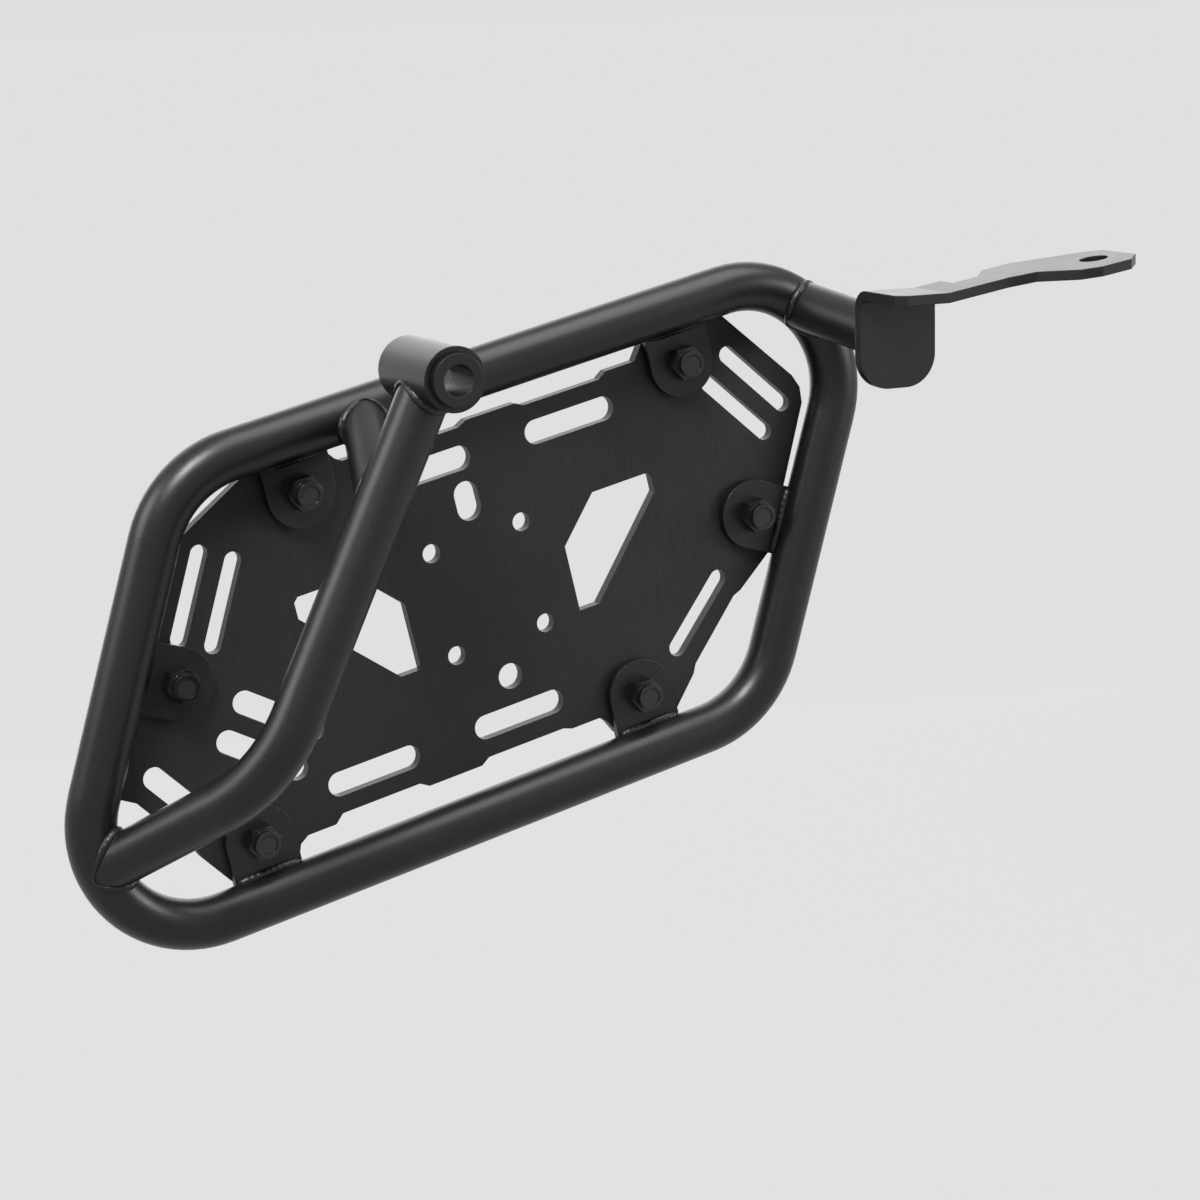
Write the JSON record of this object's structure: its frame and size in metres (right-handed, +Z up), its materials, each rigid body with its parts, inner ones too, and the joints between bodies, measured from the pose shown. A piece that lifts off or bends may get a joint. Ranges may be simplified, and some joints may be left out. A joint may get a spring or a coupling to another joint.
{
  "type": "pannier frame",
  "caption": "Side frame for a motorcycle's soft luggage: a bent tube loop with a slotted plate bolted inside it, a cranked stay up to a mounting sleeve and a short folded bracket.",
  "frame": {"origin": "centre of the mounting bush's inner end face", "axes": "+X towards the bracket, +Y outwards along the bush's bore, +Z up"},
  "size_m": [0.4354, 0.1267, 0.2683],
  "materials": {
    "frame": "satin",
    "plate": "satin",
    "screw": "satin",
    "nut": "satin"
  },
  "bodies": {
    "root": {"ring_tube": "frame", "stay_tube": "frame", "strut_tube": "frame", "stub_tube": "frame", "mount_sleeve": "frame", "mount_bush": "frame", "bracket": "frame", "plate": "plate", "tab_1": "frame", "tab_2": "frame", "tab_3": "frame", "tab_4": "frame", "tab_5": "frame", "tab_6": "frame", "screw_1": "screw", "screw_2": "screw", "screw_3": "screw", "screw_4": "screw", "screw_5": "screw", "screw_6": "screw", "nut_1": "nut", "nut_2": "nut", "nut_3": "nut", "nut_4": "nut", "nut_5": "nut", "nut_6": "nut"}
  },
  "joints": []
}
